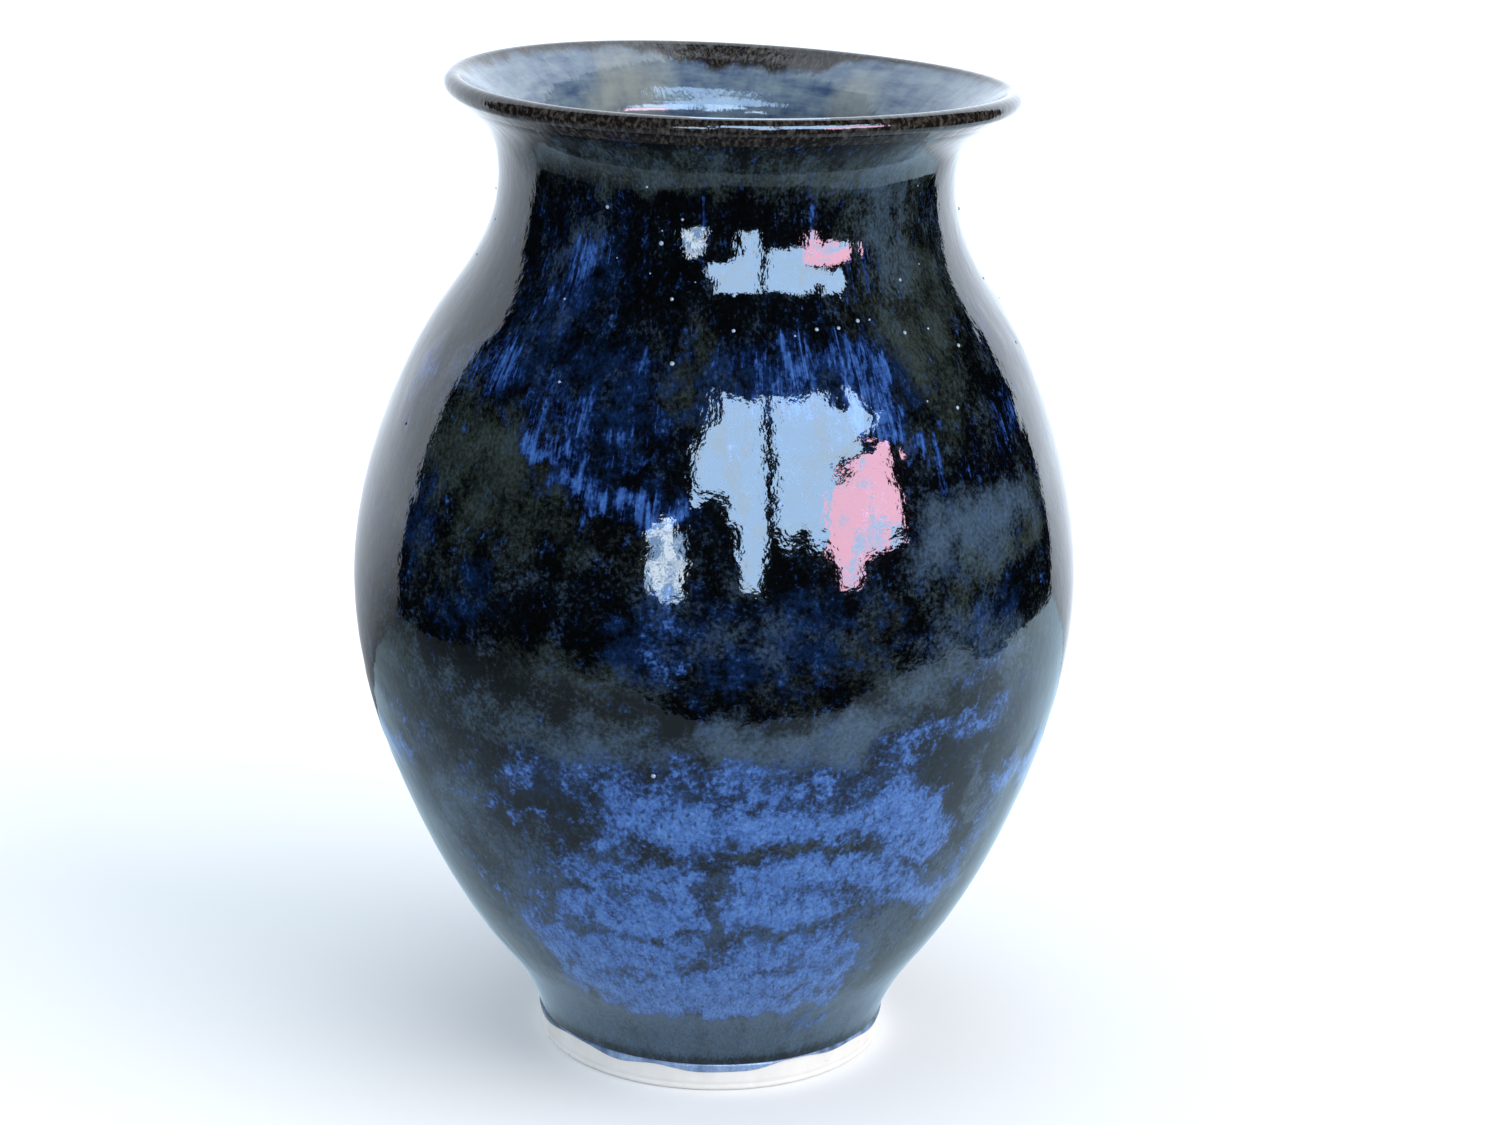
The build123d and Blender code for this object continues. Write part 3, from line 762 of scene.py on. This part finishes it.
# pale blister skin: partly milky glaze, partly a painted highlight
blisterPaintedHighlightGlaze = blisterMaterial("blisterSkinPaintedHighlight", "#5f7896", "#a9b9cc")
# near-black pinhole domes: painted shade for their open hollows
pinholeShadeGlaze = blisterMaterial("pinholeMouthPaintedShade", "#050606", "#14110f")
glaze = stonewareGlaze()
rimGlaze = rimGlazeMaterial()
bareClay = bareClayMaterial()
beadGlaze = rollMaterial()

# the outer glaze

outer = {
    "rowStep": 1.45 * mm, "stepsAround": 380,
    "channelDepth": 0.85,
    # in mm up the wall: the plain blue-grey band above the foot, and how far its top edge waves; just above
    # the bead the band fades to the dark coat as painted shade along the crease
    "bandTop": 29, "bandWave": 2.5, "bandEdge": (-4, 3), "paintedShadeAboveBead": (8.6, 11.5), "bandStrength": 0.85,
    "dustBelow": (118, 140), "dustAbove": (206, 222),
    "lipFrom": (236, 245), "glazeFrom": (7, 16),
    "thinShare": 0.35,          # of the pour's thickness where only the first coat lies
}
outerShown = evenLine(outerLine, outer["rowStep"])
outerGlaze = turned("outerGlaze", [(outerShown, wheel["outsideRings"], True),
                                   (outerBack[::2], wheel["outsideRings"], False)],
                    outer["stepsAround"], glaze)
spots, wrap, bands = glazeMaps(outerGlaze)
height = spots[:, 2]
bands["clouds"] = bands["clouds"] * (1 - outer["channelDepth"] * bands["channels"])
bandTop = outer["bandTop"] + outer["bandWave"] * ripples(wrap[:, :2], 60, 21)
bands["ash"] = np.maximum(bands["ash"],
                          outer["bandStrength"] * (1 - smoothStep(*outer["bandEdge"], height - bandTop)))
# painted shade: the band gives way to the dark coat just above the bead
bands["ash"] *= 0.3 + 0.7 * smoothStep(*outer["paintedShadeAboveBead"], height)
dusted = smoothStep(*outer["dustBelow"], height) * (1 - smoothStep(*outer["dustAbove"], height))
bands["runs"] = np.maximum(bands["runs"], pour["dust"] * dusted * (1 + 0.8 * ripples(wrap, 26, 22)))
for name in ("runs", "clouds", "olive", "cobalt", "ash"):
    keep(outerGlaze, name, bands[name])
# the second pour stands a little above the first coat
cover = np.clip(np.maximum(bands["runs"] * 0.8, bands["clouds"]), 0, 1)
cover = np.maximum(cover, smoothStep(*outer["lipFrom"], height))
thick = pour["thickness"] * (outer["thinShare"] + (1 - outer["thinShare"]) * cover)
thick = thick * smoothStep(*outer["glazeFrom"], height) * marks(outerGlaze, "showing")
reshape(outerGlaze, places(outerGlaze) + outward(outerGlaze) * thick[:, None])
print("outer glaze:", len(outerGlaze.data.polygons), "faces")

# blisters: gas bubbles that froze as they reached the surface, scattered by a Geometry Nodes tree

blisters = {
    "seed": 7, "smallest": 0.32 * mm, "largest": 0.62 * mm,
    "sunk": 0.9,                # of the smallest radius
    "back": 46, "backTurns": (75, 285), "backHeights": (182, 228),
}


def blisterTree():
    tree = bpy.data.node_groups.new("blisterScatter", "GeometryNodeTree")
    tree.interface.new_socket("Geometry", in_out="OUTPUT", socket_type="NodeSocketGeometry")
    tree.interface.new_socket("Places", in_out="INPUT", socket_type="NodeSocketGeometry")
    for name, kind in (("Smallest", "Float"), ("Largest", "Float"), ("Seed", "Int"), ("Finish", "Material")):
        tree.interface.new_socket(name, in_out="INPUT", socket_type="NodeSocket" + kind)
    given = addNode(tree, "NodeGroupInput").outputs
    dome = addNode(tree, "GeometryNodeMeshIcoSphere", {"Radius": 1.0, "Subdivisions": 3})
    size = addNode(tree, "FunctionNodeRandomValue",
                   {2: given["Smallest"], 3: given["Largest"], "Seed": given["Seed"]}, data_type="FLOAT")
    placed = addNode(tree, "GeometryNodeInstanceOnPoints",
                     {"Points": given["Places"], "Instance": dome, "Scale": size})
    solid = addNode(tree, "GeometryNodeRealizeInstances", {0: placed})
    solid = addNode(tree, "GeometryNodeSetShadeSmooth", {0: solid})
    solid = addNode(tree, "GeometryNodeSetMaterial", {0: solid, "Material": given["Finish"]})
    addNode(tree, "NodeGroupOutput", {0: solid})
    return tree


# where the front ones broke: (turn in degrees, height in mm)
blisterSpots = [
    (-29, 227.5), (-30, 190), (-25, 217), (-17, 213.5), (-15, 221), (-15, 224), (-9.5, 227), (-11, 209),
    (-6.5, 213), (-9.5, 195.5), (-18, 234), (2.5, 203), (2, 210.5), (15, 202), (19, 203), (24.5, 202.5),
    (29, 203.5), (31.5, 203.5), (39, 201), (39, 185.5), (46, 200.5), (45.5, 182.5), (51, 214), (52, 196),
    (43, 212), (52, 232), (-36, 206), (-9, 101),
]
# and pinholes that stayed open, drawn as domes painted near black: painted shade in their hollows
pinholeSpots = [(-66, 171), (-52.5, 115.5), (-51.5, 111), (-50, 108)]
blisterSpots += pinholeSpots
dice = np.random.default_rng(blisters["seed"])
blisterSpots += [(dice.uniform(*blisters["backTurns"]), dice.uniform(*blisters["backHeights"]))
                 for _ in range(blisters["back"])]
wall, facing = places(outerGlaze), outward(outerGlaze)
wallTurn = np.degrees(np.arctan2(wall[:, 0], -wall[:, 1]))
wallShows = marks(outerGlaze, "showing") > 0.5
seats = []
for spotTurn, spotHeight in blisterSpots:
    away = np.hypot(((wallTurn - spotTurn + 180) % 360 - 180), (wall[:, 2] / mm - spotHeight))
    nearest = int(np.argmin(np.where(wallShows, away, 1e9)))
    seats.append(wall[nearest] - facing[nearest] * blisters["sunk"] * blisters["smallest"])


def scattered(seats, finish, name):
    seatMesh = bpy.data.meshes.new(name + "Seats")
    seatMesh.from_pydata([tuple(seat) for seat in seats], [], [])
    seatHolder = bpy.data.objects.new(name + "Seats", seatMesh)
    scene.collection.objects.link(seatHolder)
    return evaluated(seatHolder, blisterTree(), {
        "Smallest": blisters["smallest"], "Largest": blisters["largest"], "Seed": blisters["seed"],
        "Finish": finish}, name)


inFront = len(blisterSpots) - blisters["back"] - len(pinholeSpots)
blisterDomes = scattered(seats[:inFront] + seats[inFront + len(pinholeSpots):], blisterPaintedHighlightGlaze, "glazeBlisters")
pinholes = scattered(seats[inFront:inFront + len(pinholeSpots)], pinholeShadeGlaze, "pinholeShadeDomes")
print("blisters and pinholes:", len(seats))

# the rim coat

rim = {
    "rowStep": 0.36 * mm, "stepsAround": 380,
    "longRun": 2 * mm, "tightCurve": 0.7 * mm,
    "barrel": 70,               # mm, radius that patterns in the mouth are laid out on
    "lipTop": 252.4,            # mm, where the brown is measured down from
    "brownHang": 0.9, "backHang": 4.6, "hangWave": 0.7,     # mm of brown inside the lip
    "leastHang": 0.3, "brownEdge": (-2.4, 2.0), "linerBrown": -0.4,
    "backFrom": (143, 160), "backTo": (188, 206),           # degrees round from the front
    "lipEnds": (0.46, 0.56),    # of the way along the outline
    # creamy patches, as strokes of (strength, half width in mm, turn, height, ...)
    "creamy": [(0.6, 9, -152, 240, -140, 230), (0.6, 7, 144, 240, 140, 228), (0.4, 6, -160, 247, -150, 247)],
}
rimShown = evenLine(openStraights(rimFront, rim["longRun"], rim["tightCurve"]), rim["rowStep"])
rimCoat = turned("rimGlazeCoat", [(rimShown, 0.0, True), (rimBack, 0.0, False)], rim["stepsAround"], rimGlaze)
print("rim coat:", len(rimCoat.data.polygons), "faces")

# the liner

linerSize = {"rowStep": 1.6 * mm, "stepsAround": 260}
linerShown = np.vstack([[0.0, linerLine[0][1]], evenLine(linerLine[:linerTop + 1], linerSize["rowStep"])])
linerBack = np.vstack([linerLine[linerTop + 1::2], linerLine[-1:], [0.0, linerLine[-1][1]]])
linerCoat = turned("linerGlazeCoat", [(linerShown, wheel["insideRings"], True),
                                      (linerBack, wheel["insideRings"], False)],
                   linerSize["stepsAround"], rimGlaze)
print("liner:", len(linerCoat.data.polygons), "faces")

for piece in (rimCoat, linerCoat):
    spots, turn, radius, wrap = rolled(piece, rim["barrel"])
    # the lip itself is brown; inside, the brown hangs lower at the back, in ragged runs
    behind = (turn + 360) % 360
    atBack = smoothStep(*rim["backFrom"], behind) * (1 - smoothStep(*rim["backTo"], behind))
    hang = rim["brownHang"] + rim["backHang"] * atBack + rim["hangWave"] * ripples(wrap[:, :2], 11, 31)
    along = marks(piece, "along")
    if piece is rimCoat:
        tilt = wheel["rimTilt"] / mm * spots[:, 0] / radius
        depth = np.where(along > 0.5, rim["lipTop"] - spots[:, 2] - tilt, 0)
        keep(piece, "brown", 1 - smoothStep(*rim["brownEdge"], depth - np.maximum(hang, rim["leastHang"])))
        keep(piece, "lip", 1 - smoothStep(*rim["lipEnds"], along))
    else:
        keep(piece, "brown", 0 * along + rim["linerBrown"])
        keep(piece, "lip", 0 * along)
    keep(piece, "cream", brushed((turn, spots[:, 2], radius), rim["creamy"]))

# the clay body under the glazes, bare at the foot

clay = {
    "rowStep": 0.3 * mm, "stepsAround": 240,
    # a fine groove from the trimming tool
    "grooveAt": 1.7 * mm, "grooveWide": 0.5 * mm, "grooveDeep": 0.3 * mm, "grooveReach": 3 * mm,
}
clayUnder = np.vstack([[0.0, footFront[0][1]], footFront])
clayWall = []
for here, there in zip(clayUnder, clayUnder[1:]):
    steps = max(1, round(np.linalg.norm(there - here) / clay["rowStep"]))
    clayWall += list(np.linspace(here, there, steps, endpoint=False))
clayWall = np.array(clayWall)
footEdge = clayWall[:, 0] > footFront[:, 0].max() - clay["grooveReach"]
groove = np.exp(-((clayWall[:, 1] - clay["grooveAt"]) / clay["grooveWide"]) ** 2)
clayWall[:, 0] -= footEdge * clay["grooveDeep"] * groove
clayUp = outerBack[::-1]
lipUnder = rimBack[::-1]
clayInside = np.vstack([linerLine[linerTop + 1:], [0.0, linerLine[-1][1]]])
clayBody = turned("clayBody", [(clayWall, wheel["outsideRings"], True),
                               (clayUp, wheel["outsideRings"], False), (lipUnder[1:-1], 0.0, False),
                               (clayInside, wheel["insideRings"], False)], clay["stepsAround"], bareClay)
print("clay body:", len(clayBody.data.polygons), "faces")

# the bead of glaze above the bare foot

roll = {
    "rowStep": 0.2 * mm, "stepsAround": 480,
    "wave": 0.9 * mm, "swell": 0.22 * mm,
    "radius": 45, "height": 8,  # mm
    # where it pooled blue, as strokes of (strength, half width in mm, turn, height, ...)
    "pools": [(1, 5, -27, 8, -8, 8), (0.7, 4, -4, 8, 4, 8), (1, 5, 9, 8, 34, 8), (0.7, 4, -52, 8, -44, 8),
              (0.6, 5, 50, 8, 62, 8), (0.8, 6, 90, 8, 128, 8), (0.8, 6, 165, 8, 200, 8),
              (0.7, 5, 228, 8, 262, 8)],
}
beadFront = evenLine(rollLine, roll["rowStep"])
bead = turned("glazeBead", [(beadFront, wheel["outsideRings"], True)], roll["stepsAround"], beadGlaze)
spots = places(bead)
angle = np.arctan2(spots[:, 0], -spots[:, 1])
circle = np.stack([np.cos(angle), np.sin(angle)], 1) * roll["radius"]
level = np.full(len(angle), float(roll["height"]))
pools = brushed((np.degrees(angle), level, level * 0 + roll["radius"]), roll["pools"], 0.8)
keep(bead, "pooled", np.clip(pools + 0.25 * ripples(circle, 5, 43), 0, 1))
# its lower edge waves and swells, and its upper edge stays on the glaze
share = smoothStep(rollLine[:, 1].max(), rollLine[:, 1].min(), spots[:, 2])
spots[:, 2] += share * roll["wave"] * ripples(circle, 26, 41)
swell = roll["swell"] * 0.55 * ripples(circle, 17, 42) * share
reshape(bead, spots + outward(bead) * swell[:, None])
print("bead:", len(bead.data.polygons), "faces")

# every piece moves with the one body and stands for its CAD parts

for piece, nodes, slotName in (
    (outerGlaze, ("base_glaze", "belly_pour", "shoulder_pour"), "dark_glaze"),
    (rimCoat, ("rim_glaze",), "rim_glaze"),
    (linerCoat, ("liner_glaze",), "liner_glaze"),
    (clayBody, ("foot", "belly", "shoulder", "neck_and_lip"), "bare_clay"),
    (bead, ("glaze_roll",), "glaze_bead"),
    (blisterDomes, (), "dark_glaze"),
    (pinholes, (), "dark_glaze"),
):
    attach(piece, "root")
    if nodes:
        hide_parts(*nodes)

# table, light and camera

studio = {
    "floorSize": 9.0,
    "fill": "#dfe9f2", "fillStrength": 1.34,
    "sunPower": 1.95, "sunFrom": (1.0, -0.5, 0.62), "sunSpread": 52.0, "sunColour": "#fff3e8",
    "paper": "#95abbb", "paperGrows": 2.0,
    "back": "#cad4e0", "backLeft": 2.3, "backRight": 3.5,
    "window": "#a9cdf5", "windowDim": "#b4c2cc", "windowStrength": 21.5,
    "pink": "#f6bfda", "mouthStrength": 13.0, "sky": "#d3e3f2", "skyDim": "#6f8fb4",
    "leaves": 0.8, "blotches": 5.0,
    "room": "#04070a",
}


def plainMaterial(name, colour, emission=0.0):
    material, tree = glazeMaterial(name)
    if emission:
        shader = addNode(tree, "ShaderNodeEmission",
                         {"Color": hexColour(colour), "Strength": emission})
    else:
        shader = addNode(tree, "ShaderNodeBsdfPrincipled",
                         {"Base Color": hexColour(colour), "Roughness": 1.0, "Specular IOR Level": 0.0})
    addNode(tree, "ShaderNodeOutputMaterial", {0: shader})
    return material


def panel(name, corners, material, glossyOnly=True):
    mesh = bpy.data.meshes.new(name)
    mesh.from_pydata([tuple(c) for c in corners], [], [tuple(range(len(corners)))])
    mesh.materials.append(material)
    item = bpy.data.objects.new(name, mesh)
    scene.collection.objects.link(item)
    if glossyOnly:
        item.visible_camera = False
        item.visible_diffuse = False
        item.visible_shadow = False
        item.visible_transmission = False
    return item


def towards(turnDegrees, rise, distance=2.5):
    # a point seen from the front of the pot, turned from straight ahead and raised, in degrees
    t, e = math.radians(turnDegrees), math.radians(rise)
    return Vector((math.sin(t) * math.cos(e), -math.cos(t) * math.cos(e), math.sin(e))) * distance \
        + Vector((0, -0.085, 0.17))


half = studio["floorSize"] / 2
floor = panel("floor", [(-half, -half, 0), (half, -half, 0), (half, half, 0), (-half, half, 0)],
              plainMaterial("paleFloor", "#f2f3f4"), glossyOnly=False)
floor.visible_glossy = False
paper = plainMaterial("paperLight", studio["paper"], 1.0)


def fade(material, *ramps):
    # lets a light grow along its X, Y or Z: each ramp is (axis, from, to, strength there, strength here)
    tree = material.node_tree
    spread = addNode(tree, "ShaderNodeSeparateXYZ",
                     {0: addNode(tree, "ShaderNodeTexCoord").outputs["Object"]}).outputs
    glow = next(n for n in tree.nodes if n.type == "EMISSION")
    strength = glow.inputs["Strength"].default_value
    for axis, start, end, low, high in ramps:
        ramp = addNode(tree, "ShaderNodeMapRange", {"Value": spread[axis], "From Min": start, "From Max": end,
                                                    "To Min": low, "To Max": high})
        strength = addNode(tree, "ShaderNodeMath", {0: strength, 1: ramp}, operation="MULTIPLY")
    tree.links.new(strength.outputs[0], glow.inputs["Strength"])
    return material


fade(paper, ("X", -0.1, 0.5, 1.0, studio["paperGrows"]), ("Y", -0.16, 0.14, 1.0, studio["paperGrows"]),
     ("X", -0.42, -0.12, 0.3, 1.0))
panel("paperFront", [(-0.49, -0.306, 0), (-0.301, -0.381, 0), (-0.12, -0.352, 0), (0, -0.291, 0),
                     (0.1, -0.298, 0), (0.2, -0.262, 0), (0.405, -0.259, 0), (0.49, -0.14, 0),
                     (0.49, 0.32, 0), (-0.49, 0.15, 0)], paper)
panel("paperBackLeft", [(-0.49, 0.15, 0), (0, 0.24, 0), (0, 0.24, 1.2), (-0.49, 0.15, 1.2)],
      fade(plainMaterial("paperLeft", studio["back"], studio["backLeft"]),
           ("Z", 0.0, 0.14, 0.15, 1.0), ("X", -0.15, 0.0, 1.0, 1.3)))
panel("paperBackRight", [(0, 0.24, 0), (0.49, 0.32, 0), (0.49, 0.32, 1.2), (0, 0.24, 1.2)],
      fade(plainMaterial("paperRight", studio["back"], studio["backRight"]),
           ("Z", 0.0, 0.13, 0.45, 1.0), ("X", 0.0, 0.15, 0.78, 1.0)))
glass = plainMaterial("windowLight", studio["window"], studio["windowStrength"])
rosy = plainMaterial("rosyLight", studio["pink"], studio["windowStrength"])
sky = plainMaterial("skyLight", studio["sky"], studio["windowStrength"] * 1.1)
# leaves and cloth behind the panes break their light up
for lit, other, low, high in ((glass, studio["windowDim"], 0.5, 0.75), (rosy, studio["window"], 0.55, 0.6),
                              (sky, studio["skyDim"], 0.48, 0.56)):
    litTree = lit.node_tree
    glow = next(n for n in litTree.nodes if n.type == "EMISSION")
    blotch = addNode(litTree, "ShaderNodeTexNoise",
                     {"Vector": addNode(litTree, "ShaderNodeTexCoord").outputs["Object"],
                      "Scale": studio["blotches"], "Detail": 4.0, "Roughness": 0.6})
    share = addNode(litTree, "ShaderNodeMapRange",
                    {"Value": blotch, "From Min": low, "From Max": high})
    tint = addNode(litTree, "ShaderNodeMix", {"Factor": share, "A": glow.inputs["Color"].default_value[:],
                                              "B": hexColour(other)}, data_type="RGBA")
    litTree.links.new(tint.outputs["Result"], glow.inputs["Color"])


def leafy(spots, seed, leaves=studio["leaves"]):
    # the outline of a pane seen past leaves: all but its top edge wanders
    dice = np.random.default_rng(seed)
    edge = []
    for here, there in zip(spots, spots[1:] + spots[:1]):
        steps = max(1, round(math.dist(here, there) / 1.5))
        wander = 0.1 if min(here[1], there[1]) > 40 else leaves
        for i in range(steps):
            edge.append(towards(*[a + (b - a) * i / steps + dice.uniform(-wander, wander)
                                  for a, b in zip(here, there)]))
    return edge


panel("windowLeft", leafy([
    (-4, 36), (-5, 45), (16.6, 42.5), (16.4, 16), (15, 10), (14.6, 4.5), (8.4, 4.5), (7.5, 12), (7, 18),
    (3, 20), (5, 23), (-3, 24), (-9, 27), (-9, 32)], 1), glass)
panel("windowRight", leafy([
    (20.5, 42.5), (34, 41), (44, 41), (47, 35), (52, 35), (54, 40), (60, 37), (62, 30), (56, 27), (42, 25),
    (39, 20), (37, 13), (33, 12), (29, 16), (24, 14), (20.5, 17)], 2), glass)
panel("windowRosy", leafy([
    (41, 23), (52, 24.5), (63, 22), (63, 10.5), (52, 9), (47, 9), (45, 3.5), (40, 3.5), (37, 11),
    (38, 20)], 3), rosy)
panel("windowBlob", leafy([
    (-24, 8), (-22, 13), (-16, 21), (-11, 16), (-9, 11), (-10, 4.5), (-17, 2.5)], 4, 1.6), sky)
# the same window as the throat of the mouth sees it
panel("windowOverMouth", [(-0.012, -0.02, 0.3), (0.03, -0.02, 0.3), (0.03, 0.015, 0.3), (-0.012, 0.015, 0.3)],
      plainMaterial("mouthLight", studio["window"], studio["mouthStrength"]))

world = bpy.data.worlds.new("studioFill")
world.use_nodes = True
scene.world = world
worldTree = world.node_tree
worldTree.nodes.clear()
rays = addNode(worldTree, "ShaderNodeLightPath").outputs
soft = addNode(worldTree, "ShaderNodeBackground",
               {"Color": hexColour(studio["fill"]), "Strength": studio["fillStrength"]})
dim = addNode(worldTree, "ShaderNodeBackground",
              {"Color": hexColour(studio["room"]), "Strength": 1.0})
plain = addNode(worldTree, "ShaderNodeBackground", {"Color": (1, 1, 1, 1), "Strength": 1.0})
mixed = addNode(worldTree, "ShaderNodeMixShader", {0: rays["Is Glossy Ray"], 1: soft, 2: dim})
mixed = addNode(worldTree, "ShaderNodeMixShader", {0: rays["Is Camera Ray"], 1: mixed, 2: plain})
addNode(worldTree, "ShaderNodeOutputWorld", {0: mixed})

sunLight = bpy.data.lights.new("softSun", "SUN")
sunLight.energy = studio["sunPower"]
sunLight.angle = math.radians(studio["sunSpread"])
sunLight.color = hexColour(studio["sunColour"])[:3]
sun = bpy.data.objects.new("softSun", sunLight)
sun.rotation_euler = (-Vector(studio["sunFrom"])).to_track_quat("-Z", "Y").to_euler()
sun.visible_glossy = False
scene.collection.objects.link(sun)

viewpoint = {"distance": 0.79275, "height": 0.35825, "lookDown": 16.21, "swing": -0.61, "roll": 1.37,
             "lens": 76.8, "sensor": 36.0}
lens = bpy.data.cameras.new("portraitLens")
lens.lens = viewpoint["lens"]
lens.sensor_width = viewpoint["sensor"]
camera = bpy.data.objects.new("camera", lens)
camera.matrix_world = (Matrix.Translation((0, -viewpoint["distance"], viewpoint["height"]))
                       @ Matrix.Rotation(math.radians(viewpoint["swing"]), 4, "Z")
                       @ Matrix.Rotation(math.radians(90 - viewpoint["lookDown"]), 4, "X")
                       @ Matrix.Rotation(math.radians(viewpoint["roll"]), 4, "Z"))
scene.collection.objects.link(camera)
scene.camera = camera
scene.view_settings.view_transform = "Standard"
scene.view_settings.look = "None"
print("studio ready")
